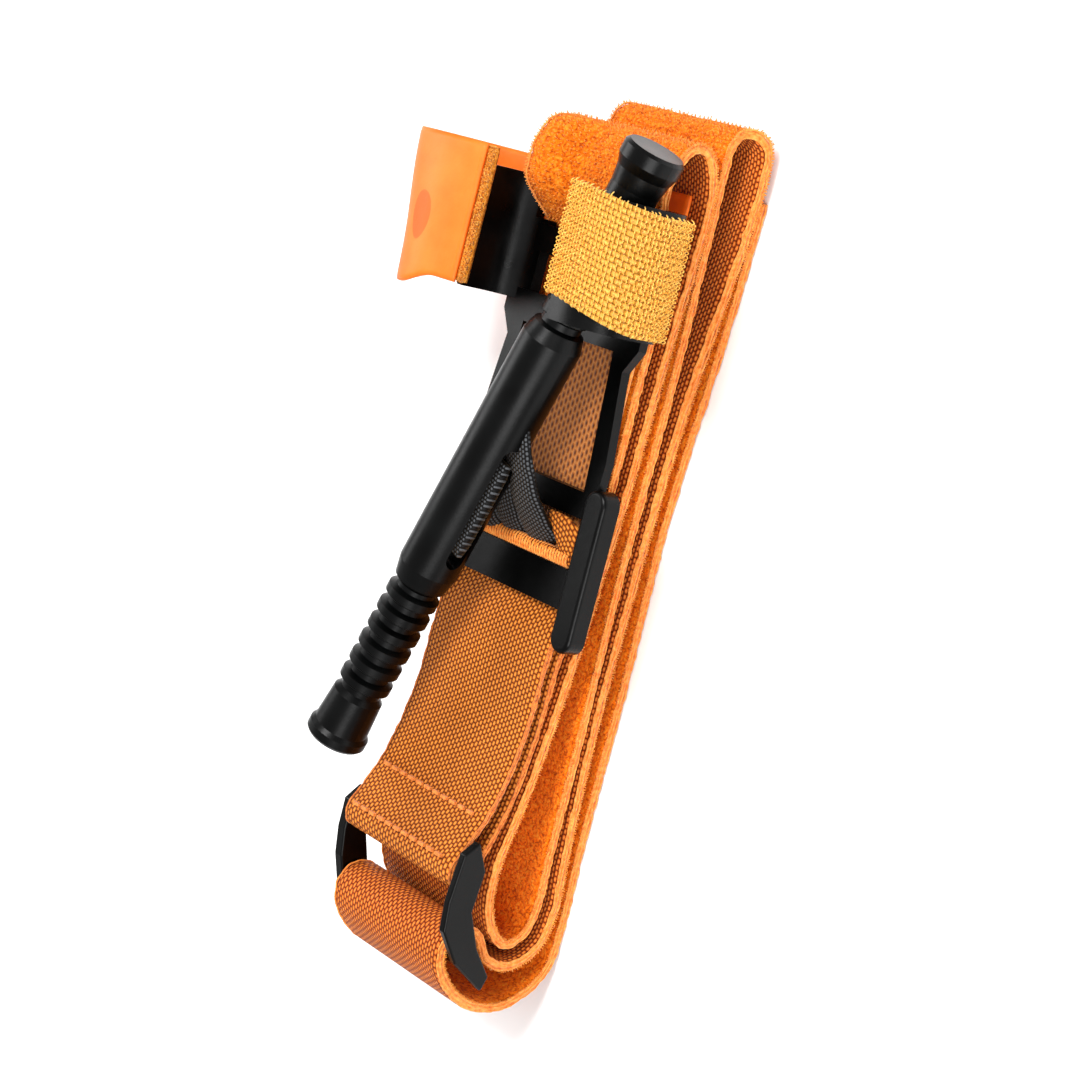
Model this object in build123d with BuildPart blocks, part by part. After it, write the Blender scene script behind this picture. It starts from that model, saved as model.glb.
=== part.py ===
"""Folded windlass tourniquet: woven band, moulded base plate with clip, windlass rod, buckle.

Frame: millimetres, +Z up, floor at z = 0, +Y towards the clip end, x = 0 on the band's centre line.
"""

from build123d import *
import os
from math import cos, hypot, radians, sin

# ---- driving dimensions (mm) ----
BAND_W = 38.0
BAND_T = 2.0
FABRIC_T = 1.3
INNER_STRAP_T = 0.8
PLATE_TOP = 25.0
PLATE_T = 2.2
PLATE_LOW = PLATE_TOP - PLATE_T

BAR_A_Y = (18.5, 24.0)
BAR_B_Y = (-1.0, 7.6)
WINDOW_TOP_Y = 53.5
WINDOW_HALF_TOP = 15.0
WINDOW_HALF_LOW = 17.1
FRAME_HALF_TOP = 19.2
FRAME_HALF_LOW = 21.5
CLIP_Y = (57.5, 84.0)
CLIP_BASE_Y = (55.0, 60.0)
FLOOR_STRIP_Y = (68.5, 74.5)
FLOOR_HALF = 22.4
RAIL_Y = (-9.0, 25.8)
RAIL_X = (20.2, 26.6)
LEFT_RAIL_OUTER = 23.4
RAIL_TOP = 27.2
WING_T = 2.2
LEFT_WING = [(-15.0, 23.9), (-20.5, 24.2), (-23.6, 27.0), (-25.0, 31.5), (-25.6, 36.0)]
RIGHT_WING = [(15.0, 23.9), (22.0, 24.1), (26.6, 27.0), (28.0, 33.0), (26.2, 39.2),
              (21.4, 42.4), (17.0, 42.8), (13.4, 42.4)]
WING_NOTCH_Y = (75.4, 85.0)
WING_NOTCH_HALF = 19.5

ROD_TAIL = (-25.2, -44.7, 39.4)
ROD_HEAD = (22.2, 95.2, 33.8)
ROD_BODY_R = 6.6
ROD_NECK_R = 5.3
ROD_RIB_R = 5.9
ROD_GROOVE_R = 4.6
RIB_START = 13.0
RIB_STEP = 4.5
RIB_COUNT = 6
BODY_END = 106.0
SLOT_L = 30.0
SLOT_W = 4.4
SLOT_AT = 64.6

STRAP_Y = (58.0, 88.0)
STRAP_T = 0.8
LINING_T = 1.2
HOOK_Y = (58.2, 82.8)
HOOK_T = 1.4

RIGHT_ARM_X = (21.6, 23.6)
LEFT_ARM_X = (-22.4, -19.6)
UPPER_BAR = (-58.8, 33.0)
LOWER_BAR = (-77.4, 28.6)
BAR_R = 2.0
BUCKLE_ARM = [(-50.6, 34.0), (-53.5, 37.4), (-64.0, 38.4), (-70.4, 37.8), (-77.6, 32.6),
              (-84.0, 23.6), (-80.6, 22.4), (-74.4, 27.4), (-66.0, 31.4), (-57.0, 30.6)]
LEFT_ARM = [(-54.0, 31.6), (-57.4, 35.0), (-64.0, 35.0), (-70.4, 34.0), (-78.0, 31.2),
            (-83.0, 24.6), (-80.4, 23.0), (-72.0, 26.0), (-64.0, 28.8), (-57.0, 29.4)]

STITCH_R = 0.35
STITCH_L = 2.0
STITCH_STEP = 3.0


# ---- helpers ----
def save(part, name):
    part.label = name
    export_step(part, f"parts/{name}.step")


def ribbon(points, thickness, half_width=BAND_W / 2, shift=0.0):
    """A strip of even thickness that follows points (y, z) and is wide along X."""
    with BuildPart() as strip:
        with BuildSketch(Plane.YZ.offset(shift)):
            with BuildLine():
                Spline(*points)
            trace(line_width=thickness)
        extrude(amount=half_width, both=True)
    return strip.part


def cross_ribbon(points, thickness, y_range):
    """A strip that follows points (x, z) and runs between two values of y."""
    with BuildPart() as strip:
        with BuildSketch(Plane.XZ.offset(-y_range[0])):
            with BuildLine():
                Spline(*points)
            trace(line_width=thickness)
        extrude(amount=-(y_range[1] - y_range[0]))
    return strip.part


def webbing_leg(low, high, widths, turns, thickness):
    """A flat strap from low to high; widths and turns are (at low, at high)."""
    run = tuple(high[i] - low[i] for i in range(3))
    with BuildPart() as leg:
        for end, width, turn in ((low, widths[0], turns[0]), (high, widths[1], turns[1])):
            across = (cos(radians(turn)), sin(radians(turn)), 0)
            with BuildSketch(Plane(origin=end, x_dir=across, z_dir=run)):
                Rectangle(width, thickness)
        loft()
    return leg.part


def stitch_row(y, z, half_width):
    """A row of short raised stitches across the band at (y, z)."""
    count = int(2 * half_width / STITCH_STEP)
    first = -(count - 1) * STITCH_STEP / 2
    with BuildPart() as row:
        with Locations(*[(first + i * STITCH_STEP, y, z) for i in range(count)]):
            Box(STITCH_L, 2 * STITCH_R, 2 * STITCH_R)
    return row.part


# ---- base plate: frame, two windows, rails, clip floor and wings, one moulding ----
def base_plate():
    with BuildPart() as plate:
        with BuildSketch(Plane.XY.offset(PLATE_LOW)):
            with BuildLine():
                half = [(RAIL_X[0] + 1, BAR_B_Y[0]), (RAIL_X[0] + 1, RAIL_Y[1] - 1),
                        (FRAME_HALF_LOW, 31.0), (FRAME_HALF_TOP, 50.0),
                        (FLOOR_HALF, CLIP_BASE_Y[0]), (FLOOR_HALF, CLIP_BASE_Y[1])]
                other = [(-x, y) for x, y in reversed(half)]
                Polyline(*half, *other, close=True)
            make_face()
            with BuildLine():
                Polyline((-WINDOW_HALF_LOW, BAR_A_Y[1]), (WINDOW_HALF_LOW, BAR_A_Y[1]),
                         (WINDOW_HALF_TOP, WINDOW_TOP_Y), (-WINDOW_HALF_TOP, WINDOW_TOP_Y),
                         close=True)
            make_face(mode=Mode.SUBTRACT)
            with Locations((0, (BAR_B_Y[1] + BAR_A_Y[0]) / 2)):
                Rectangle(2 * RAIL_X[0], BAR_A_Y[0] - BAR_B_Y[1], mode=Mode.SUBTRACT)
        extrude(amount=PLATE_T)
        with Locations((0, sum(FLOOR_STRIP_Y) / 2, PLATE_TOP - PLATE_T / 2)):
            Box(2 * 18.0, FLOOR_STRIP_Y[1] - FLOOR_STRIP_Y[0], PLATE_T)
        for wing in (LEFT_WING, RIGHT_WING):
            with BuildSketch(Plane.XZ.offset(-CLIP_Y[0])):
                with BuildLine():
                    Spline(*wing)
                trace(line_width=WING_T)
            extrude(amount=-(CLIP_Y[1] - CLIP_Y[0]))
        for side, outer in ((-1, LEFT_RAIL_OUTER), (1, RAIL_X[1])):
            with BuildSketch(Plane.XY.offset(PLATE_LOW)):
                with Locations((side * (RAIL_X[0] + outer) / 2, sum(RAIL_Y) / 2)):
                    SlotOverall(RAIL_Y[1] - RAIL_Y[0], outer - RAIL_X[0], rotation=90)
            extrude(amount=RAIL_TOP - PLATE_LOW)
        with Locations((0, sum(WING_NOTCH_Y) / 2, PLATE_TOP - PLATE_T / 2)):
            Box(2 * WING_NOTCH_HALF, WING_NOTCH_Y[1] - WING_NOTCH_Y[0], 2 * PLATE_T,
                mode=Mode.SUBTRACT)
        rail_rims = plate.faces().filter_by(Axis.Z).filter_by(
            lambda face: abs(face.center().Z - RAIL_TOP) < 0.01).edges()
        fillet(rail_rims, 1.0)
    return plate.part


# ---- windlass rod: ribbed grip, slotted body, collars, neck and flared head ----
def rod_outline(length):
    outline = [(0, 0), (6.4, 0), (6.9, 0.6), (6.9, 2.4), (6.2, 3.4), (5.7, RIB_START - 1.2)]
    for i in range(RIB_COUNT):
        low = RIB_START + i * RIB_STEP
        outline += [(ROD_GROOVE_R, low), (ROD_GROOVE_R, low + 1.3)]
        outline += [(ROD_RIB_R, low + 2.0), (ROD_RIB_R, low + RIB_STEP - 0.7)]
    start = RIB_START + RIB_COUNT * RIB_STEP
    outline += [(ROD_GROOVE_R, start), (ROD_GROOVE_R, start + 1.0)]
    outline += [(ROD_BODY_R - 0.8, start + 2.0), (ROD_BODY_R, start + 6.0)]
    outline += [(ROD_BODY_R, BODY_END - 3.0), (ROD_NECK_R + 0.3, BODY_END)]
    outline += [(ROD_NECK_R - 0.8, BODY_END + 0.6), (ROD_NECK_R - 0.8, BODY_END + 2.0)]
    outline += [(ROD_NECK_R, BODY_END + 2.6), (ROD_NECK_R, BODY_END + 5.0)]
    outline += [(ROD_NECK_R - 0.6, BODY_END + 5.6), (ROD_NECK_R - 0.6, BODY_END + 7.0)]
    outline += [(ROD_NECK_R, BODY_END + 7.8), (ROD_NECK_R, length - 9.0)]
    outline += [(ROD_NECK_R + 0.5, length - 5.5), (6.6, length - 3.4)]
    outline += [(6.6, length - 0.7), (5.9, length), (0, length)]
    return outline


ROD_RUN = tuple(ROD_HEAD[i] - ROD_TAIL[i] for i in range(3))
ROD_L = hypot(*ROD_RUN)
ROD_PLACE = Plane(origin=ROD_TAIL, x_dir=(ROD_RUN[1], -ROD_RUN[0], 0), z_dir=ROD_RUN).location


def windlass_rod():
    with BuildPart() as rod:
        with BuildSketch(Plane.XZ):
            with BuildLine():
                Polyline(*rod_outline(ROD_L), close=True)
            make_face()
        revolve(axis=Axis.Z)
        with BuildSketch(Plane.YZ.offset(-2 * ROD_BODY_R)):
            with Locations((0, SLOT_AT)):
                SlotOverall(SLOT_L, SLOT_W, rotation=90)
        extrude(amount=4 * ROD_BODY_R, mode=Mode.SUBTRACT)
    return ROD_PLACE * rod.part


def strap_in_slot():
    """The stretch of inner strap that lies inside the rod's slot and turns with the rod."""
    with BuildPart() as bridge:
        with Locations((0, 0, SLOT_AT)):
            Box(2 * ROD_BODY_R + 1.0, 2.4, 23.0)
    return ROD_PLACE * bridge.part


# ---- buckle: two side arms, an upper bar and a lower bar ----
def buckle():
    with BuildPart() as frame:
        for outline, span in ((LEFT_ARM, LEFT_ARM_X), (BUCKLE_ARM, RIGHT_ARM_X)):
            with BuildSketch(Plane.YZ.offset(span[0])):
                with BuildLine():
                    Polyline(*outline, close=True)
                make_face()
            extrude(amount=span[1] - span[0])
        fillet(frame.edges(), 0.5)
        bar_start = LEFT_ARM_X[0] + 1.0
        bar_end = RIGHT_ARM_X[1] - 1.0
        for bar in (UPPER_BAR, LOWER_BAR):
            with BuildSketch(Plane.YZ.offset(bar_start)):
                with Locations(bar):
                    Circle(BAR_R)
            extrude(amount=bar_end - bar_start)
    return frame.part


# ---- long band and sleeve, as paths (y, z) seen from the side ----
PATHS = {
    "band_upper_leg": [(12.0, 19.6), (40.0, 19.6), (66.0, 19.4)],
    "band_fold_upper": [(66.6, 19.4), (74.0, 20.2), (79.5, 23.6), (86.0, 25.6), (92.5, 24.8),
                        (97.0, 21.6), (97.3, 18.0), (94.0, 15.2), (89.0, 13.6), (84.6, 13.1)],
    "band_layer_1": [(84.0, 13.1), (60.0, 13.6), (20.0, 15.2), (-20.0, 17.4), (-44.0, 20.9)],
    "band_bend": [(-44.6, 21.0), (-56.0, 23.4), (-66.0, 23.2), (-73.0, 19.6), (-75.6, 15.2),
                  (-73.0, 10.6), (-66.0, 8.8), (-58.0, 9.2)],
    "band_layer_2": [(-57.4, 9.2), (-20.0, 10.3), (40.0, 10.6), (84.0, 10.6)],
    "band_fold_lower": [(84.6, 10.6), (94.0, 10.9), (100.6, 10.2), (103.2, 7.0), (100.6, 4.0),
                        (94.0, 3.3), (84.6, 3.6)],
    "band_layer_3": [(84.0, 3.6), (40.0, 5.4), (-20.0, 6.2), (-57.4, 5.4)],
    "band_rise": [(-58.0, 5.4), (-68.0, 4.8), (-76.0, 7.0), (-80.0, 13.5), (-78.6, 20.0),
                  (-72.6, 24.8)],
    "band_buckle_wrap": [(-72.1, 25.4), (-71.8, 29.6), (-74.4, 32.8), (-79.0, 33.0),
                         (-84.6, 29.2), (-88.8, 22.4), (-89.4, 13.6), (-85.4, 5.8)],
    "band_foot": [(-84.9, 5.2), (-80.6, 2.2), (-73.0, 1.0), (-58.0, 1.0)],
    "band_layer_4": [(-57.4, 1.0), (20.0, 1.0), (76.0, 1.0)],
    "band_tip": [(76.6, 1.0), (84.0, 1.0), (90.0, 1.0)],
}
SLEEVE = {
    "sleeve_top": [(7.4, 21.7), (3.0, 21.7), (-1.2, 21.75), (-3.6, 22.6), (-6.6, 24.0),
                   (-13.0, 24.8), (-30.0, 25.6), (-45.0, 29.2), (-53.6, 33.4)],
    "sleeve_buckle_turn": [(-54.0, 33.7), (-58.4, 36.0), (-61.4, 35.0), (-62.0, 32.4),
                           (-59.8, 29.9), (-55.0, 28.4)],
    "sleeve_under": [(-54.4, 28.0), (-46.0, 24.9), (-30.0, 22.3), (-13.0, 21.4), (-6.0, 20.5),
                     (-0.5, 20.1)],
    "sleeve_window_panel": [(8.8, 22.0), (30.0, 22.0), (55.5, 22.0)],
}
INNER_STRAP = [(-8.0, 22.9), (-13.0, 23.2), (-29.0, 23.9), (-44.0, 26.8)]
STRAP_RUN = [(17.0, 16.6), (0.0, 16.8), (-18.0, 16.8), (-27.4, 18.6)]
STRAP_FLAP = [(-28.0, 18.8), (-36.0, 20.2), (-42.0, 22.0), (-47.0, 27.0), (-47.6, 33.0),
              (-43.0, 39.0), (-36.0, 41.6), (-29.0, 41.2), (-22.4, 40.0)]
STRAP_LINING = [(-42.4, 37.4), (-39.0, 39.6), (-35.6, 40.3), (-29.0, 39.9), (-23.0, 38.7)]
HOOK_SKIN = [(28.9, 25.8), (30.3, 33.1), (28.2, 40.6), (22.2, 44.6), (17.2, 44.95),
             (13.1, 44.5)]
LEGS = {
    "inner_strap_leg_right": ((7.6, 12.4, 26.0), (9.4, 29.5, 33.6), (9.5, 8.0), (8, 70), 1.2),
    "inner_strap_leg_middle": ((-1.6, 12.0, 26.0), (-1.2, 22.0, 28.4), (6.5, 6.0), (8, 30), 1.2),
    "inner_strap_leg_left": ((-9.8, 12.4, 26.2), (-15.2, 12.6, 33.0), (6.0, 5.0), (20, 60), 1.2),
}

os.makedirs("parts", exist_ok=True)
save(base_plate(), "base_plate")
save(windlass_rod(), "windlass_rod")
save(strap_in_slot(), "inner_strap_bridge")
save(buckle(), "buckle")
for node, path in PATHS.items():
    save(ribbon(path, BAND_T), node)
for node, path in SLEEVE.items():
    save(ribbon(path, FABRIC_T), node)
save(ribbon(INNER_STRAP, INNER_STRAP_T, half_width=11.0), "inner_strap_run")
for node, leg in LEGS.items():
    save(webbing_leg(*leg), node)
save(cross_ribbon(STRAP_RUN, STRAP_T, STRAP_Y), "time_strap_run")
save(cross_ribbon(STRAP_FLAP, STRAP_T, STRAP_Y), "time_strap_flap")
save(cross_ribbon(STRAP_LINING, LINING_T, STRAP_Y), "time_strap_lining")
save(cross_ribbon(HOOK_SKIN, HOOK_T, HOOK_Y), "hook_patch")

# ---- hem at the mouth of the sleeve, its folded corner flap, and the stitch rows ----
with BuildPart() as sleeve_hem:
    with BuildSketch(Plane.YZ):
        with Locations((9.6, 24.2)):
            Circle(1.1)
    extrude(amount=BAND_W / 2 - 1.0, both=True)
save(sleeve_hem.part, "sleeve_hem")
with BuildPart() as sleeve_flap:
    with BuildSketch(Plane.XY.offset(24.2)):
        with BuildLine():
            Polyline((6.5, 17.6), (19.4, 17.6), (19.4, 11.2), close=True)
        make_face()
    extrude(amount=FABRIC_T)
save(sleeve_flap.part, "sleeve_flap")
save(stitch_row(-47.0, 31.5, 17.0), "stitch_row_inner")
save(stitch_row(-56.4, 37.2, 17.0), "stitch_row_outer")
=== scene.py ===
"""Visual model of the folded windlass tourniquet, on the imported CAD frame. Metres, +Z up, floor at z = 0."""

from math import cos, pi, radians, sin

import bpy
import numpy as np
from mathutils import Matrix, Vector, noise


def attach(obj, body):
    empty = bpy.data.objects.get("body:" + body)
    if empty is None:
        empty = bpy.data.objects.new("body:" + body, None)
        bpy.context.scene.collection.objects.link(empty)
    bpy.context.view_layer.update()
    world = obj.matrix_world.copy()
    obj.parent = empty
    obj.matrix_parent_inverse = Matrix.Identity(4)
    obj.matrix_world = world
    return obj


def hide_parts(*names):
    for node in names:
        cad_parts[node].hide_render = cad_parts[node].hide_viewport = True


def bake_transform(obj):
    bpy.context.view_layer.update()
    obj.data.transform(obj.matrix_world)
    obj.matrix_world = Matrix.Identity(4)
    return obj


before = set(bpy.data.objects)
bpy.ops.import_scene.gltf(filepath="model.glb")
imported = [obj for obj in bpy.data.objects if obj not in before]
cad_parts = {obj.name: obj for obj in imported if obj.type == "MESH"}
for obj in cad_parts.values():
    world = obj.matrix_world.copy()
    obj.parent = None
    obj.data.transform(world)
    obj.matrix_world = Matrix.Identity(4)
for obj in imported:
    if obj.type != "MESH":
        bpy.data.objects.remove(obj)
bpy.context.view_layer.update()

MM = 0.001
BASE, ROD, FLAP = "folded_band", "windlass", "strap_flap"

# ---------------------------------------------------------------- camera, floor, light
CAMERA_AZIMUTH, CAMERA_ELEVATION, CAMERA_ROLL = 101.478, 41.289, -83.166
CAMERA_AT = Vector((0.4032, 0.0913, 0.3794))
LENS, SENSOR = 85.38, 36.0
LIGHTS_AIM = Vector((0, 0, 0.02))


def add_camera():
    data = bpy.data.cameras.new("camera")
    data.lens, data.sensor_width = LENS, SENSOR
    data.clip_start, data.clip_end = 0.01, 20.0
    camera = bpy.data.objects.new("camera", data)
    bpy.context.collection.objects.link(camera)
    azimuth, elevation = radians(CAMERA_AZIMUTH), radians(CAMERA_ELEVATION)
    back = Vector((sin(azimuth) * cos(elevation), -cos(azimuth) * cos(elevation), sin(elevation)))
    side = Vector((0, 0, 1)).cross(back).normalized()
    up = back.cross(side)
    turn = Matrix.Rotation(radians(CAMERA_ROLL), 3, back)
    side, up = turn @ side, turn @ up
    rotation = Matrix((side, up, back)).transposed().to_4x4()
    camera.matrix_world = Matrix.Translation(CAMERA_AT) @ rotation
    bpy.context.scene.camera = camera


def add_light(name, size, power, place):
    data = bpy.data.lights.new(name, "AREA")
    data.shape, data.size, data.energy = "DISK", size, power
    lamp = bpy.data.objects.new(name, data)
    bpy.context.collection.objects.link(lamp)
    direction = LIGHTS_AIM - Vector(place)
    lamp.rotation_euler = direction.to_track_quat("-Z", "Y").to_euler()
    lamp.location = place


def link_mesh(name, mesh):
    piece = bpy.data.objects.new(name, mesh)
    bpy.context.collection.objects.link(piece)
    return piece


# ---------------------------------------------------------------- node helpers
class Tree:
    """Short names for the few shader nodes that the materials use."""

    def __init__(self, name):
        self.material = bpy.data.materials.new(name)
        self.material.use_nodes = True
        self.nodes = self.material.node_tree.nodes
        self.links = self.material.node_tree.links
        self.shader = self.nodes["Principled BSDF"]

    def put(self, socket, value):
        if isinstance(value, bpy.types.NodeSocket):
            self.links.new(value, socket)
        elif value is not None:
            socket.default_value = value

    def math(self, operation, a, b=None, c=None):
        node = self.nodes.new("ShaderNodeMath")
        node.operation = operation
        for socket, value in zip(node.inputs, (a, b, c)):
            self.put(socket, value)
        return node.outputs[0]

    def uv(self):
        node = self.nodes.new("ShaderNodeUVMap")
        node.uv_map = "UVMap"
        split = self.nodes.new("ShaderNodeSeparateXYZ")
        self.links.new(node.outputs[0], split.inputs[0])
        return node.outputs[0], split.outputs[0], split.outputs[1]

    def place(self):
        return self.nodes.new("ShaderNodeTexCoord").outputs["Object"]

    def noise(self, vector, scale, detail=2.0, roughness=0.5, distortion=0.0):
        node = self.nodes.new("ShaderNodeTexNoise")
        self.put(node.inputs["Vector"], vector)
        node.inputs["Scale"].default_value = scale
        node.inputs["Detail"].default_value = detail
        node.inputs["Roughness"].default_value = roughness
        node.inputs["Distortion"].default_value = distortion
        return node.outputs["Fac"]

    def voronoi(self, vector, scale):
        node = self.nodes.new("ShaderNodeTexVoronoi")
        self.put(node.inputs["Vector"], vector)
        node.inputs["Scale"].default_value = scale
        return node.outputs["Distance"]

    def ramp(self, fac, stops):
        node = self.nodes.new("ShaderNodeValToRGB")
        self.put(node.inputs[0], fac)
        elements = node.color_ramp.elements
        while len(elements) < len(stops):
            elements.new(0.5)
        for element, (at, colour) in zip(elements, stops):
            element.position, element.color = at, (*colour, 1.0)
        return node.outputs[0]

    def mix(self, fac, a, b, kind="MIX"):
        node = self.nodes.new("ShaderNodeMix")
        node.data_type, node.blend_type = "RGBA", kind
        self.put(node.inputs[0], fac)
        for index, value in ((6, a), (7, b)):
            if isinstance(value, tuple):
                value = (*value, 1.0)
            self.put(node.inputs[index], value)
        return node.outputs[2]

    def bump(self, height, distance, strength=1.0):
        node = self.nodes.new("ShaderNodeBump")
        node.inputs["Distance"].default_value = distance
        node.inputs["Strength"].default_value = strength
        self.put(node.inputs["Height"], height)
        return node.outputs[0]

    def done(self, colour, normal, roughness, **sockets):
        self.put(self.shader.inputs["Base Color"], colour)
        self.put(self.shader.inputs["Roughness"], roughness)
        self.links.new(normal, self.shader.inputs["Normal"])
        for name, value in sockets.items():
            self.shader.inputs[name.replace("_", " ")].default_value = value
        return self.material


def srgb(code):
    channels = [int(code[i:i + 2], 16) / 255 for i in (0, 2, 4)]
    return tuple(c / 12.92 if c < 0.04045 else ((c + 0.055) / 1.055) ** 2.4 for c in channels)


# ---------------------------------------------------------------- materials
# Colours run from the gaps to the crowns; the dark gap colours are painted shade. Pitches, UV and the spot are
# in mm, and bump heights in metres.
SPOT, SPOT_HALF = (37.0, 88.0), (5.2, 3.0)
WARM = (1.0, 0.6, 0.25, 1.0)
WHITE, DARK = (1.0, 1.0, 1.0), (0.0, 0.0, 0.0)


def yarns(tree, u, v, pitch_u, pitch_v):
    """Height 0 to 1 of a plain weave: columns of short rounded yarns, each offset by half from the next."""
    column = tree.math("DIVIDE", u, pitch_u)
    odd = tree.math("MODULO", tree.math("FLOOR", column), 2.0)
    across = tree.math("SINE", tree.math("MULTIPLY", tree.math("FRACT", column), pi))
    shift = tree.math("MULTIPLY", tree.math("ABSOLUTE", odd), 0.5)
    row = tree.math("ADD", tree.math("DIVIDE", v, pitch_v), shift)
    along = tree.math("SINE", tree.math("MULTIPLY", tree.math("FRACT", row), pi))
    return tree.math("MULTIPLY", tree.math("POWER", across, 0.7), tree.math("POWER", along, 0.6))


def blended(tree, a, b, share):
    return tree.math("ADD", tree.math("MULTIPLY", a, 1.0 - share), tree.math("MULTIPLY", b, share))


def woven(name, pitch_u, pitch_v, dark, mid, light, relief=0.00035, fuzz=0.25):
    """Plain-weave webbing with a little fibre, slow colour change and painted shade in the gaps between yarns.
    """
    tree = Tree(name)
    vector, u, v = tree.uv()
    wander = tree.noise(vector, 0.35, 3.0)
    shifted = tree.math("ADD", u, tree.math("MULTIPLY", tree.math("SUBTRACT", wander, 0.5), 0.5))
    height = yarns(tree, shifted, v, pitch_u, pitch_v)
    fibre = tree.noise(vector, 3.2, 4.0, 0.7)
    rough_height = blended(tree, height, fibre, fuzz)
    # Painted shade: the dark colour fills the gaps between yarns.
    colour = tree.ramp(rough_height, [(0.14, srgb(dark)), (0.48, srgb(mid)), (0.80, srgb(light))])
    broad = tree.noise(vector, 0.06, 2.0)
    shade = tree.ramp(broad, [(0.3, (0.80, 0.80, 0.80)), (0.7, WHITE)])
    colour = tree.mix(1.0, colour, shade, "MULTIPLY")
    normal = tree.bump(rough_height, relief)
    return tree.done(colour, normal, 0.62, Sheen_Weight=0.05, Sheen_Roughness=0.4,
                     Sheen_Tint=WARM, Specular_IOR_Level=0.18)


def looped_pile(name, dark, mid, light):
    """Soft pile of tangled loops, with painted shade in the hollows between them."""
    tree = Tree(name)
    place = tree.place()
    curl = tree.noise(place, 900.0, 4.0, 0.65, 1.6)
    loops = tree.voronoi(place, 1250.0)
    height = tree.math("SUBTRACT", curl, tree.math("MULTIPLY", loops, 0.35))
    # Painted shade: the dark colour fills the hollows between loops.
    colour = tree.ramp(height, [(0.12, srgb(dark)), (0.34, srgb(mid)), (0.60, srgb(light))])
    patch = tree.ramp(tree.noise(place, 110.0, 3.0), [(0.3, (0.86, 0.80, 0.80)), (0.7, WHITE)])
    colour = tree.mix(1.0, colour, patch, "MULTIPLY")
    return tree.done(colour, tree.bump(height, 0.0006), 0.85, Sheen_Weight=0.12, Sheen_Roughness=0.5,
                     Sheen_Tint=WARM, Specular_IOR_Level=0.1)


def plastic(name, colour, light, roughness, grain=2600.0):
    """Moulded plastic with fine grain and uneven gloss."""
    tree = Tree(name)
    place = tree.place()
    fine = tree.noise(place, grain, 3.0, 0.6)
    broad = tree.noise(place, 90.0, 3.0, 0.5)
    tint = tree.ramp(broad, [(0.35, srgb(colour)), (0.75, srgb(light))])
    rough = tree.math("MULTIPLY_ADD", broad, 0.22, roughness)
    both = tree.math("ADD", tree.math("MULTIPLY", fine, 0.25), broad)
    return tree.done(tint, tree.bump(both, 0.00012, 0.6), rough, Specular_IOR_Level=0.17)


def meshed(name, pitch_u, pitch_v):
    """Fine knitted mesh: small eyelets filled with painted shade in a brown lattice."""
    tree = Tree(name)
    vector, u, v = tree.uv()
    height = yarns(tree, u, v, pitch_u, pitch_v)
    fibre = tree.noise(vector, 3.0, 3.0, 0.7)
    eyelet = tree.math("ADD", tree.math("SUBTRACT", 1.0, height), tree.math("MULTIPLY", fibre, 0.25))
    # Painted shade: the darkest colour fills the eyelets.
    colour = tree.ramp(eyelet, [(0.12, srgb("3C1A04")), (0.42, srgb("96501C")), (0.85, srgb("BC7434"))])
    return tree.done(colour, tree.bump(eyelet, 0.0003), 0.7, Sheen_Weight=0.08, Specular_IOR_Level=0.2)


def coated(name):
    """Smooth coated strap with one oval spot."""
    tree = Tree(name)
    vector, u, v = tree.uv()
    cloud = tree.noise(vector, 0.12, 3.0)
    base = tree.ramp(cloud, [(0.3, srgb("FA6E18")), (0.7, srgb("FF7E28"))])
    du = tree.math("DIVIDE", tree.math("SUBTRACT", u, SPOT[0]), SPOT_HALF[0])
    dv = tree.math("DIVIDE", tree.math("SUBTRACT", v, SPOT[1]), SPOT_HALF[1])
    far = tree.math("ADD", tree.math("MULTIPLY", du, du), tree.math("MULTIPLY", dv, dv))
    spot = tree.ramp(far, [(0.90, WHITE), (1.08, DARK)])
    colour = tree.mix(spot, base, srgb("F05C00"))
    cloth = tree.noise(vector, 1.6, 3.0)
    return tree.done(colour, tree.bump(cloth, 0.00008, 0.5), 0.45, Subsurface_Weight=0.15,
                     Subsurface_Scale=0.001, Specular_IOR_Level=0.22)


def hook_tape(name):
    """Woven ground of the hook patch, with painted shade in the gaps between yarns."""
    tree = Tree(name)
    vector, u, v = tree.uv()
    height = yarns(tree, u, v, 1.25, 1.7)
    fibre = tree.noise(vector, 3.0, 3.0, 0.7)
    mixed = blended(tree, height, fibre, 0.25)
    # Painted shade: the dark colour fills the gaps between yarns.
    colour = tree.ramp(mixed, [(0.12, srgb("8A5A10")), (0.45, srgb("D99A30")), (0.8, srgb("F6BE58"))])
    return tree.done(colour, tree.bump(mixed, 0.0005), 0.55, Specular_IOR_Level=0.3)


def single(name, dark, light, roughness=0.6, scale=1500.0, relief=0.0002):
    """One yarn or paper: a fine grain between two close colours."""
    tree = Tree(name)
    grain = tree.noise(tree.place(), scale, 3.0, 0.6)
    colour = tree.ramp(grain, [(0.3, srgb(dark)), (0.7, srgb(light))])
    return tree.done(colour, tree.bump(grain, relief), roughness, Sheen_Weight=0.2, Specular_IOR_Level=0.25)


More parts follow.
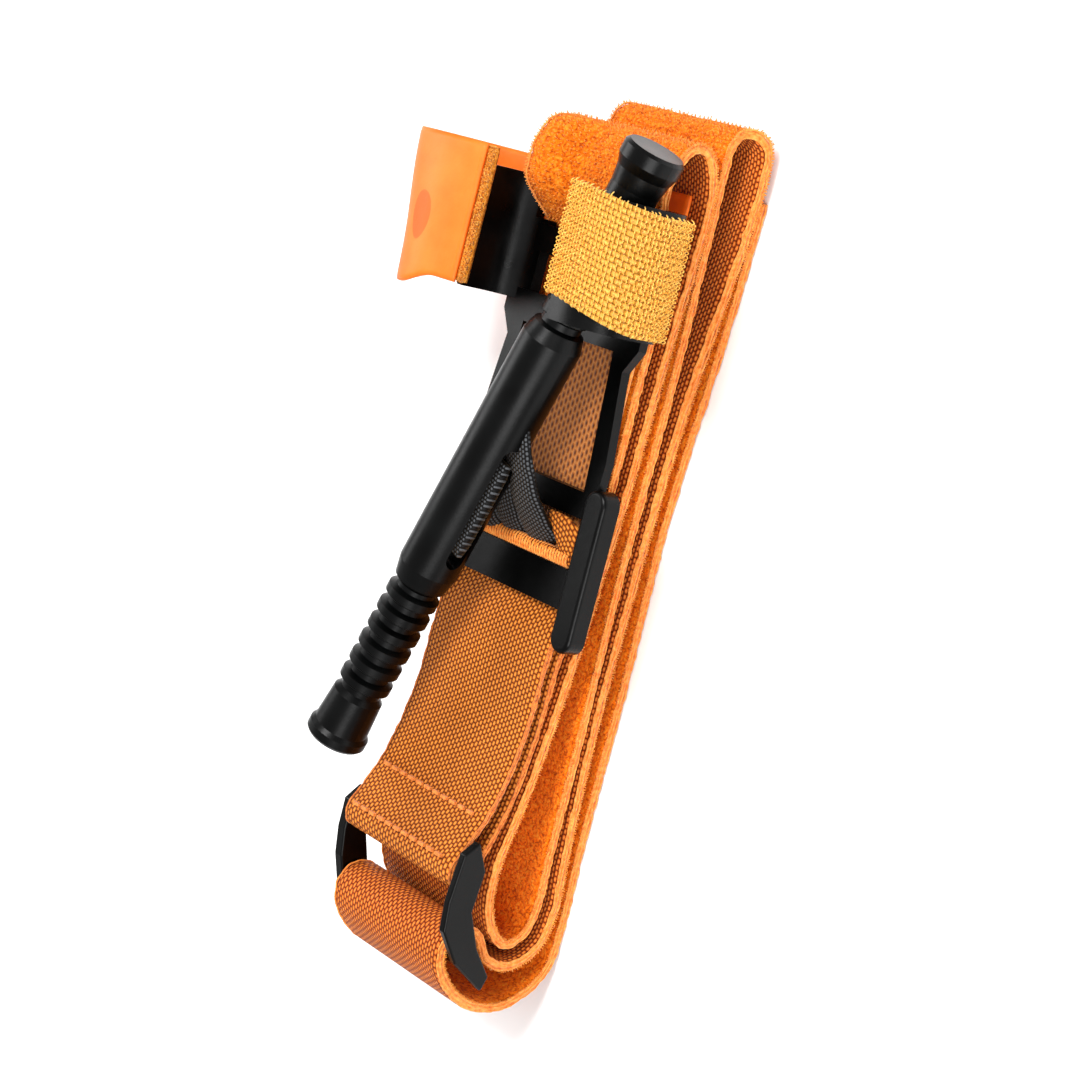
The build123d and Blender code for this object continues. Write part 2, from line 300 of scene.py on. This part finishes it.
# The dark colour of each weave, mesh and pile is painted shade in its gaps, eyelets or hollows.
WEAVE = woven("band_weave", 0.85, 1.35, "4A1000", "B84A08", "F88C34", 0.0005)
SLEEVE = woven("sleeve_weave", 0.98, 1.3, "3E1200", "B4540E", "FA9838", 0.0006)
WINDOW = meshed("window_weave", 1.15, 1.9)
PILE = looped_pile("band_pile", "B44400", "FF7C0A", "FFAA36")
EDGE = single("edge_thread", "E06C10", "FFAC50", 0.7, 1100.0, 0.0003)
THREAD = single("stitch_thread", "C05C14", "F09440", 0.6, 1500.0)
COATED = coated("coated_strap")
LINING = looped_pile("lining_pile", "B06010", "F0962C", "FFC060")
TAPE = hook_tape("hook_tape")
HOOKS = single("hook_yarn", "E89A18", "FFD468", 0.45, 900.0)
PILE_YARN = single("pile_yarn", "F0780C", "FFB044", 0.7, 900.0)
SLEEVE_EDGE = single("sleeve_edge_thread", "A84A0C", "F08C38", 0.7, 1100.0, 0.0003)
LINING_YARN = single("lining_yarn", "D87810", "FFC050", 0.7, 900.0)
BLACK = plastic("moulded_black", "000000", "030303", 0.20)
ROD_BLACK = plastic("rod_black", "000000", "030404", 0.22, 1800.0)
# The black webbing's grey crown colour is a painted highlight on its yarns.
STRAP_BLACK = woven("black_webbing", 0.8, 0.95, "010101", "0B0B0C", "55575A", 0.0003, 0.15)


# ---------------------------------------------------------------- strips, ribbons, threads (from mm)
STRIP_STEP, STRIP_LIP, STRIP_U = 1.2, 0.45, 40.0
THREAD_STEP, THREAD_WAVE = 0.7, 0.24
LOOP_RADIUS, LOOP_FOOT = 0.085, 0.7
RIBBON_STEP, RIBBON_U, RIBBON_SMOOTHINGS = 1.0, 30.0, 4


def build_mesh(name, verts, faces, materials, kinds=None, uvs=None):
    """A smooth-shaded object; kinds are material numbers per face and uvs are per point."""
    mesh = bpy.data.meshes.new(name)
    mesh.from_pydata([tuple(v) for v in verts], [], faces)
    for material in materials:
        mesh.materials.append(material)
    if kinds:
        mesh.polygons.foreach_set("material_index", kinds)
    mesh.polygons.foreach_set("use_smooth", [True] * len(faces))
    if uvs:
        layer = mesh.uv_layers.new(name="UVMap")
        for loop in mesh.loops:
            layer.data[loop.index].uv = uvs[loop.vertex_index]
    mesh.update()
    return link_mesh(name, mesh)


def resample(points, step):
    """Even steps along a smooth curve through points; returns places and arc lengths, in the points' unit."""
    pts = np.array(points, float)
    ghost = np.vstack([2 * pts[0] - pts[1], pts, 2 * pts[-1] - pts[-2]])
    dense = []
    for i in range(1, len(ghost) - 2):
        p0, p1, p2, p3 = ghost[i - 1:i + 3]
        t = np.linspace(0, 1, 40, endpoint=False)[:, None]
        k0, k1, k2 = (np.sqrt(np.linalg.norm(b - a)) for a, b in ((p0, p1), (p1, p2), (p2, p3)))
        m1 = (p2 - p1 + k1 * ((p1 - p0) / k0 - (p2 - p0) / (k0 + k1)))
        m2 = (p2 - p1 + k1 * ((p3 - p2) / k2 - (p3 - p1) / (k1 + k2)))
        h1, h2 = 2 * t**3 - 3 * t**2 + 1, -2 * t**3 + 3 * t**2
        h3, h4 = t**3 - 2 * t**2 + t, t**3 - t**2
        dense.append(h1 * p1 + h2 * p2 + h3 * m1 + h4 * m2)
    dense = np.vstack(dense + [pts[-1:]])
    lengths = np.concatenate([[0], np.cumsum(np.linalg.norm(np.diff(dense, axis=0), axis=1))])
    count = max(3, int(lengths[-1] / step) + 1)
    want = np.linspace(0, lengths[-1], count)
    return np.stack([np.interp(want, lengths, dense[:, k]) for k in range(2)], 1), want


def sides(line):
    """Unit normals on the left of a 2-D line."""
    run = np.gradient(line, axis=0)
    run /= np.linalg.norm(run, axis=1, keepdims=True)
    return np.stack([-run[:, 1], run[:, 0]], 1)


def ruffle(x, y, z, scale, size):
    return size * noise.noise(Vector((x * scale, y * scale, z * scale)))


def strip_faces(rows, cells, plane):
    """Faces of a strap of rows rings, and their kinds: 0 left face, 1 right face, 2 edges and ends."""
    faces, kinds = [], []
    ring = 2 * cells
    for i in range(rows - 1):
        a, b = i * ring, (i + 1) * ring
        for j in range(ring):
            n = (j + 1) % ring
            quad = (a + j, b + j, b + n, a + n) if plane == "YZ" else (a + j, a + n, b + n, b + j)
            faces.append(quad)
            kinds.append(0 if j < cells - 1 else 2 if j in (cells - 1, ring - 1) else 1)
    for base, flip in ((0, False), ((rows - 1) * ring, True)):
        for k in range(cells - 1):
            quad = (base + k, base + k + 1, base + ring - 2 - k, base + ring - 1 - k)
            faces.append(quad[::-1] if flip == (plane == "YZ") else quad)
            kinds.append(2)
    return faces, kinds


def strip(name, points, half, thick, materials, plane="YZ", centre=0.0, shape=None, fluff=0.0, cells=26):
    """A strap along points. materials are (left face, right face, edges); shape moves finished points."""
    line, run = resample(points, STRIP_STEP)
    normal = sides(line)
    across = np.linspace(-half, half, cells)
    crown = 1.0 - 0.35 * np.clip((np.abs(across) - (half - STRIP_LIP)) / STRIP_LIP, 0, 1) ** 2
    verts, uvs = [], []
    ring = 2 * cells
    for i in range(len(line)):
        for j in range(ring):
            top = j < cells
            k = j if top else ring - 1 - j
            x = across[k]
            offset = (thick / 2) * crown[k] * (1 if top else -1)
            p = line[i] + normal[i] * offset
            point = [centre + x, p[0], p[1]] if plane == "YZ" else [p[0], centre + x, p[1]]
            if shape:
                point = shape(*point, run[i])
            if fluff and top:
                push = ruffle(*point, 0.9, fluff) + ruffle(*point, 2.3, fluff * 0.7)
                point = list(point)
                point[1 if plane == "YZ" else 0] += push * normal[i][0]
                point[2] += push * normal[i][1]
            verts.append([c * MM for c in point])
            uvs.append((x + STRIP_U, run[i]))
    faces, kinds = strip_faces(len(line), cells, plane)
    return build_mesh(name, verts, faces, materials, kinds, uvs)


def cord_mesh(name, routes, radius, material, around):
    """Thin round threads along lists of points (mm)."""
    verts, faces = [], []
    for route in routes:
        line = np.array(route, float)
        run = np.gradient(line, axis=0)
        run /= np.linalg.norm(run, axis=1, keepdims=True) + 1e-9
        helper = np.array([1.0, 0.0, 0.0]) if abs(run[0][0]) < 0.8 else np.array([0.0, 0.0, 1.0])
        start = len(verts)
        for i, p in enumerate(line):
            a = np.cross(run[i], helper)
            a /= np.linalg.norm(a) + 1e-9
            b = np.cross(run[i], a)
            for k in range(around):
                turn = 2 * pi * k / around
                verts.append((p + radius * (cos(turn) * a + sin(turn) * b)) * MM)
        for i in range(len(line) - 1):
            for k in range(around):
                n = (k + 1) % around
                s = start + i * around
                faces.append((s + k, s + n, s + around + n, s + around + k))
        faces.append(tuple(start + k for k in reversed(range(around))))
        faces.append(tuple(start + (len(line) - 1) * around + k for k in range(around)))
    return build_mesh(name, verts, faces, [material])


def edge_threads(name, points, half, heights, material, shape=None, radius=0.24):
    """Wavy binding threads along both edges of a strap, at each height above its middle."""
    line, run = resample(points, THREAD_STEP)
    normal = sides(line)
    routes = []
    for side in (-1, 1):
        for number, height in enumerate(heights):
            route = []
            for i in range(len(line)):
                seed = Vector((run[i] * 0.55, number * 7.0, side * 5.0))
                p = line[i] + normal[i] * (height + THREAD_WAVE * noise.noise(seed))
                point = [side * (half + 0.30 * noise.noise(seed * 1.3)), p[0], p[1]]
                route.append(shape(*point, run[i]) if shape else point)
            routes.append(route)
    return cord_mesh(name, routes, radius, material, 5)


def smooth(value, low, high):
    t = min(1.0, max(0.0, (value - low) / (high - low)))
    return t * t * (3 - 2 * t)


def fuzz(name, points, half, shape, material, rows, keep, size=0.9, step=0.75, plane="YZ", centre=0.0):
    """Small loops of pile yarn standing off one face of a strap, at the given shares of its width."""
    line, run = resample(points, step)
    normal = sides(line)
    routes = []
    for i in range(len(line)):
        if not keep(line[i]):
            continue
        for j, share in enumerate(rows):
            seed = Vector((i * 1.37, j * 2.71, 3.0))
            jitter = [noise.noise(seed + Vector((k * 9.1, 0, 0))) for k in range(4)]
            across = half * share + 0.8 * jitter[0] * (abs(share) < 0.97)
            route = []
            for k in range(4):
                t = k / 3
                rise = LOOP_FOOT + size * sin(pi * t) * (0.9 + 0.8 * jitter[1])
                p = line[i] + normal[i] * rise
                outward = 0.35 * np.sign(share) * sin(pi * t) if abs(share) > 0.97 else 0.0
                drift = 1.1 * (t - 0.5)
                if plane == "YZ":
                    moved = shape(across + outward + jitter[2] * drift, p[0], p[1], run[i])
                    moved = (moved[0], moved[1] + drift * jitter[3], moved[2])
                else:
                    moved = shape(p[0], centre + across + outward + jitter[2] * drift, p[1], run[i])
                route.append(moved)
            routes.append(route)
    return cord_mesh(name, routes, LOOP_RADIUS, material, 3)


def ribbon(name, stations, thick, material, cells=9, cup=0.0):
    """A flat strap through stations: (middle point, direction across, width), all in mm."""
    rows = []
    for a, b in zip(stations[:-1], stations[1:]):
        count = max(2, int(np.linalg.norm(np.subtract(a[0], b[0])) / RIBBON_STEP))
        for t in np.linspace(0, 1, count, endpoint=False):
            rows.append([np.array(a[k]) * (1 - t) + np.array(b[k]) * t for k in range(3)])
    rows.append([np.array(stations[-1][k], float) for k in range(3)])
    middle = np.array([row[0] for row in rows])
    for _ in range(RIBBON_SMOOTHINGS):
        middle[1:-1] = (middle[:-2] + 2 * middle[1:-1] + middle[2:]) / 4
    run = np.concatenate([[0], np.cumsum(np.linalg.norm(np.diff(middle, axis=0), axis=1))])
    heading = np.gradient(middle, axis=0)
    verts, uvs, faces = [], [], []
    ring = 2 * cells
    for i, row in enumerate(rows):
        along = heading[i] / np.linalg.norm(heading[i])
        across = row[1] - along * np.dot(row[1], along)
        across /= np.linalg.norm(across)
        up = np.cross(across, along)
        for j in range(ring):
            top = j < cells
            share = (j if top else ring - 1 - j) / (cells - 1) - 0.5
            crown = 1.0 if abs(share) < 0.49 else 0.5
            height = thick / 2 * crown * (1 if top else -1) - cup * 4 * share * share
            verts.append((middle[i] + across * share * row[2] + up * height) * MM)
            uvs.append((share * row[2] + RIBBON_U, run[i]))
    for i in range(len(rows) - 1):
        for j in range(ring):
            n = (j + 1) % ring
            faces.append((i * ring + j, i * ring + n, (i + 1) * ring + n, (i + 1) * ring + j))
    faces.append(tuple(reversed(range(ring))))
    faces.append(tuple((len(rows) - 1) * ring + j for j in range(ring)))
    return build_mesh(name, verts, faces, [material], uvs=uvs)


# ---------------------------------------------------------------- the band
# (y, z) along the band, from under the plate to its free end, and along the sleeve.
BAND = [(12.0, 19.6), (40.0, 19.6), (66.0, 19.4), (74.0, 20.2), (79.5, 23.6), (86.0, 25.6),
        (92.5, 24.8), (97.0, 21.6), (97.3, 18.0), (94.0, 15.2), (89.0, 13.6), (84.6, 13.1),
        (60.0, 13.6), (20.0, 15.2), (-20.0, 17.4), (-44.0, 20.9), (-56.0, 23.4), (-66.0, 23.2),
        (-73.0, 19.6), (-75.6, 15.2), (-73.0, 10.6), (-66.0, 8.8), (-57.4, 9.2), (-20.0, 10.3),
        (40.0, 10.6), (84.0, 10.6), (94.0, 10.9), (100.6, 10.2), (103.2, 7.0), (100.6, 4.0),
        (94.0, 3.3), (84.6, 3.6), (40.0, 5.4), (-20.0, 6.2), (-57.4, 5.4), (-68.0, 4.8),
        (-76.0, 7.0), (-80.0, 13.5), (-78.6, 20.0), (-72.6, 24.8), (-71.8, 29.6), (-74.4, 32.8),
        (-79.0, 33.0), (-84.6, 29.2), (-88.8, 22.4), (-89.4, 13.6), (-85.4, 5.8), (-80.6, 2.2),
        (-73.0, 1.0), (-58.0, 1.0), (20.0, 1.0), (76.0, 1.0), (90.0, 1.0)]
SLEEVE_LINE = [(7.4, 21.7), (3.0, 21.7), (-1.2, 21.75), (-3.6, 22.6), (-6.6, 24.0), (-13.0, 24.8),
               (-30.0, 25.6), (-45.0, 29.2), (-54.0, 33.7), (-58.4, 36.0), (-61.4, 35.0),
               (-62.0, 32.4), (-59.8, 29.9), (-54.4, 28.0), (-46.0, 24.9), (-30.0, 22.3),
               (-13.0, 21.4), (-6.0, 20.5), (-0.5, 20.1)]
HALF = 19.0


def band_shape(x, y, z, run):
    """Puffs the upper fold on the side away from the rod, and lets the layers wander a little sideways."""
    if 17.0 < z and y > 74.0:
        z += 5.0 * (1 - smooth(x, -17.0, -6.0)) * smooth(y, 75.0, 84.0) * smooth(z, 17.0, 24.0)
    x += 0.5 * sin(run * 0.021) + 0.25 * sin(run * 0.083)
    x += 3.6 * smooth(y, 5.0, 95.0) * (1 - smooth(z, 4.0, 9.0))
    return x, y, z


band = strip("long_band", BAND, HALF, 2.0, (PILE, WEAVE, EDGE), shape=band_shape, fluff=0.22)
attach(band, BASE)
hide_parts("band_upper_leg", "band_fold_upper", "band_layer_1", "band_bend", "band_layer_2",
            "band_fold_lower", "band_layer_3", "band_rise", "band_buckle_wrap", "band_foot", "band_layer_4",
            "band_tip")
bindings = edge_threads("band_bindings", BAND, HALF, (-0.75, 0.1, 0.85), EDGE, band_shape)
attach(bindings, BASE)


loops = fuzz("band_pile_fuzz", BAND, HALF, band_shape, PILE_YARN, [k / 15 - 1 for k in range(31)],
             lambda p: p[0] > 74.0 and p[1] > 12.0 or p[0] > 84.0)
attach(loops, BASE)
fringe = fuzz("band_edge_fuzz", BAND, HALF, band_shape, PILE_YARN, [-1.0, 0.985, 1.0],
              lambda p: True, size=0.7, step=0.55)
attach(fringe, BASE)

sleeve = strip("sleeve", SLEEVE_LINE, HALF, 1.3, (SLEEVE, SLEEVE, EDGE), cells=22)
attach(sleeve, BASE)
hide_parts("sleeve_top", "sleeve_buckle_turn", "sleeve_under")
sleeve_edges = edge_threads("sleeve_bindings", SLEEVE_LINE, HALF, (-0.3, 0.35), SLEEVE_EDGE, radius=0.3)
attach(sleeve_edges, BASE)

WINDOW_RUN = [(8.8, 22.0), (30.0, 22.0), (55.5, 22.0)]
window = strip("window_panel", WINDOW_RUN, HALF, 1.25, (WINDOW, WINDOW, EDGE))
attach(window, BASE)
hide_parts("sleeve_window_panel")


# ---------------------------------------------------------------- CAD nodes that keep their shape
def paint(node, material):
    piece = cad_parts[node]
    piece.data.materials.clear()
    piece.data.materials.append(material)


paint("base_plate", BLACK)
paint("buckle", BLACK)
paint("windlass_rod", ROD_BLACK)
for node in ("stitch_row_inner", "stitch_row_outer"):
    paint(node, THREAD)


# ---------------------------------------------------------------- inner strap, hem and folded corner
ALONG_ROD = (0.32, 0.946, -0.04)
LEGS = {
    "right": [((7.0, 10.6, 23.6), (1, 0.36, 0.1), 8.8), ((6.9, 13.5, 27.0), (1, 0.40, 0.2), 8.8),
              ((6.4, 19.0, 31.6), (1, 0.42, 0.2), 9.0), ((5.4, 26.0, 34.8), (0.94, 0.44, 0.2), 9.2),
              ((3.6, 33.0, 36.2), (0.9, 0.46, 0.2), 9.0)],
    "middle": [((-2.4, 9.8, 23.2), (1, 0.2, 0), 7.4), ((-2.0, 12.4, 26.2), (1, 0.3, 0.1), 7.4),
               ((-1.4, 17.0, 29.8), (0.96, 0.4, 0.1), 8.0), ((-0.8, 23.0, 33.0), (0.9, 0.5, 0.1), 8.2),
               ((-1.6, 27.4, 35.2), (0.9, 0.5, 0.1), 8.2)],
    "left": [((-8.6, 9.6, 23.4), (1, 0.1, 0), 5.2), ((-7.4, 10.4, 26.6), (0.8, 0.6, 0.2), 5.6),
             ((-6.0, 13.0, 30.4), (0.6, 0.8, 0.1), 6.6), ((-5.4, 16.6, 34.6), ALONG_ROD, 7.4),
             ((-6.6, 17.2, 36.6), ALONG_ROD, 7.4)],
}
for side, stations in LEGS.items():
    leg = ribbon(f"inner_strap_{side}", stations, 1.1, STRAP_BLACK, cup=0.9)
    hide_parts(f"inner_strap_leg_{side}")
    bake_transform(leg)

SLOT_MIDDLE = (-4.48, 16.44, 36.95)
ACROSS_ROD = (0.947, -0.321, 0.0)
SLOT_REACH = (-7.1, 0.0, 7.1)
bridge_line = [tuple(c + reach * a for c, a in zip(SLOT_MIDDLE, ACROSS_ROD)) for reach in SLOT_REACH]
bridge = ribbon("inner_strap_in_slot", [(point, ALONG_ROD, 23.0) for point in bridge_line], 2.3, STRAP_BLACK,
                cup=0.25)
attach(bridge, ROD)
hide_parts("inner_strap_bridge")
HIDDEN_RUN = [(-8.0, 22.9), (-13.0, 23.2), (-29.0, 23.9), (-44.0, 26.8)]
hidden = strip("inner_strap_in_sleeve", HIDDEN_RUN, 11.0, 0.8, (STRAP_BLACK, STRAP_BLACK, STRAP_BLACK))
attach(hidden, BASE)
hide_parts("inner_strap_run")

HEM = [((-18.4, 9.4, 23.7), (0, 1, 0.15), 2.4), ((-6.0, 9.2, 24.3), (0, 1, 0.2), 2.4),
       ((8.0, 9.3, 24.5), (0, 1, 0.2), 2.6), ((18.4, 9.8, 24.0), (0, 1, 0.1), 3.0)]
CORNER = [((19.2, 10.4, 24.6), (0.2, 1, 0), 1.2), ((17.0, 13.6, 25.2), (0.3, 1, 0.1), 7.6),
          ((13.0, 15.6, 25.2), (0.3, 1, 0.1), 5.4), ((8.4, 17.2, 24.6), (0.3, 1, 0), 1.6)]
hem = ribbon("sleeve_mouth_hem", HEM, 1.7, SLEEVE, cells=7)
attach(hem, BASE)
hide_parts("sleeve_hem")


WHIP_POINTS, WHIP_TURNS = 600, 42


def whipping():
    """The thread wound round the rolled hem."""
    wind = []
    for i in range(WHIP_POINTS):
        share = i / (WHIP_POINTS - 1)
        turn = 2 * pi * WHIP_TURNS * share
        wind.append((-18.0 + 36.0 * share, 9.3 + 1.45 * cos(turn), 24.3 + 1.05 * sin(turn)))
    return cord_mesh("sleeve_hem_whipping", [wind], 0.30, EDGE, 5)


wound = whipping()
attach(wound, BASE)
corner = ribbon("sleeve_corner_fold", CORNER, 1.2, SLEEVE, cells=7)
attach(corner, BASE)
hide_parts("sleeve_flap")

# ---------------------------------------------------------------- time strap and hook patch
STRAP_Y, HOOK_Y = 73.0, 70.5
STRAP_RUN = [(17.0, 16.6), (0.0, 16.8), (-18.0, 16.8), (-27.4, 18.6)]
STRAP_FLAP = [(-28.0, 18.8), (-36.0, 20.2), (-42.0, 22.0), (-47.0, 27.0), (-47.6, 33.0), (-43.0, 39.0),
              (-36.0, 41.6), (-29.0, 41.2), (-22.4, 40.0)]
STRAP_LINING = [(-42.4, 37.4), (-39.0, 39.6), (-35.6, 40.3), (-29.0, 39.9), (-23.0, 38.7), (-20.8, 38.1)]
HOOK_SKIN = [(28.9, 25.8), (30.3, 33.1), (28.2, 40.6), (22.2, 44.6), (17.2, 44.95), (13.1, 44.5)]


def strap_shape(x, y, z, run):
    """The flap's curl flares outwards towards the clip's open end."""
    outward = smooth(-x, 30.0, 46.0) * smooth(y, 56.0, 88.0)
    lower = (1 - smooth(y, 57.0, 68.0)) * smooth(z, 24.0, 36.0)
    return x - 4.2 * outward, y - 3.4 * lower * smooth(-x, 28.0, 40.0), z


time_strap = strip("time_strap", STRAP_RUN + STRAP_FLAP, 15.0, 0.8, (COATED, COATED, COATED), plane="XZ",
                   centre=STRAP_Y, shape=strap_shape)
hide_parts("time_strap_run", "time_strap_flap")
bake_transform(time_strap)
lining = strip("time_strap_pile", STRAP_LINING, 14.6, 1.2, (LINING, LINING, LINING), plane="XZ",
               centre=STRAP_Y, fluff=0.2)
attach(lining, FLAP)
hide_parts("time_strap_lining")
tufts = fuzz("time_strap_fuzz", STRAP_LINING, 14.4, strap_shape, LINING_YARN, [k / 20 - 1 for k in range(41)],
             lambda p: p[0] > -22.4, size=0.9, step=0.35, plane="XZ", centre=STRAP_Y)
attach(tufts, FLAP)


def patch_shape(x, y, z, run):
    """The tape lies askew: its edge at the wing's tip sits nearer to the open end and is narrower."""
    tip = smooth(run, 8.0, 31.0)
    return x, y + tip * (3.6 - 0.07 * (y - HOOK_Y)), z


patch = strip("hook_patch_tape", HOOK_SKIN, 12.3, 1.0, (TAPE, TAPE, TAPE), plane="XZ", centre=HOOK_Y,
              shape=patch_shape)
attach(patch, BASE)
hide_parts("hook_patch")


HOOKS_ACROSS, HOOK_START, HOOK_SPAN = 27, 58.6, 23.8


def hook_yarns():
    """Small bent yarns in rows all over the tape, standing off it, with a fringe at its edges."""
    line, run = resample(HOOK_SKIN, 0.8)
    normal = sides(line)
    routes = []
    for i in range(len(line)):
        for j in range(HOOKS_ACROSS):
            seed = Vector((i * 3.7, j * 5.3, 1.0))
            wander = [noise.noise(seed + Vector((k * 11.0, 0, 0))) for k in range(4)]
            y = HOOK_START + HOOK_SPAN * j / (HOOKS_ACROSS - 1) + 0.5 * wander[0] + 0.45 * (i % 2)
            lean = 0.55 + 0.5 * wander[1]
            route = []
            for step in range(5):
                t = step / 4
                rise = 0.35 + 0.75 * sin(pi * t) + 0.15 * wander[2]
                p = line[i] - normal[i] * rise
                point = patch_shape(p[0], y + lean * (t - 0.5) * 1.5, p[1], run[i])
                drift = 0.7 * (t - 0.5) * wander[3]
                route.append((point[0] + drift, point[1], point[2]))
            routes.append(route)
    return cord_mesh("hook_patch_hooks", routes, 0.15, HOOKS, 4)


hooks = hook_yarns()
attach(hooks, BASE)

# ---------------------------------------------------------------- camera, lights, floor, world
add_camera()
floor_mesh = bpy.data.meshes.new("floor")
floor_mesh.from_pydata([(-6, -6, 0), (6, -6, 0), (6, 6, 0), (-6, 6, 0)], [], [(0, 1, 2, 3)])
floor_mesh.materials.append(single("floor_paper", "FAFAFA", "FFFFFF", 0.9, 40.0, 0.0))
floor = link_mesh("floor", floor_mesh)
floor.location.z = -0.0003
add_light("key", 0.45, 11.0, (0.25, 0.55, 0.95))
add_light("fill", 0.7, 9.0, (0.85, -0.35, 0.70))
add_light("rim", 0.6, 4.5, (-0.80, 0.20, 0.60))
world = bpy.data.worlds.new("studio")
world.use_nodes = True
world.node_tree.nodes["Background"].inputs[0].default_value = (1.0, 1.0, 1.0, 1.0)
world.node_tree.nodes["Background"].inputs[1].default_value = 0.48
bpy.context.scene.world = world
bpy.context.scene.view_settings.view_transform = "Standard"
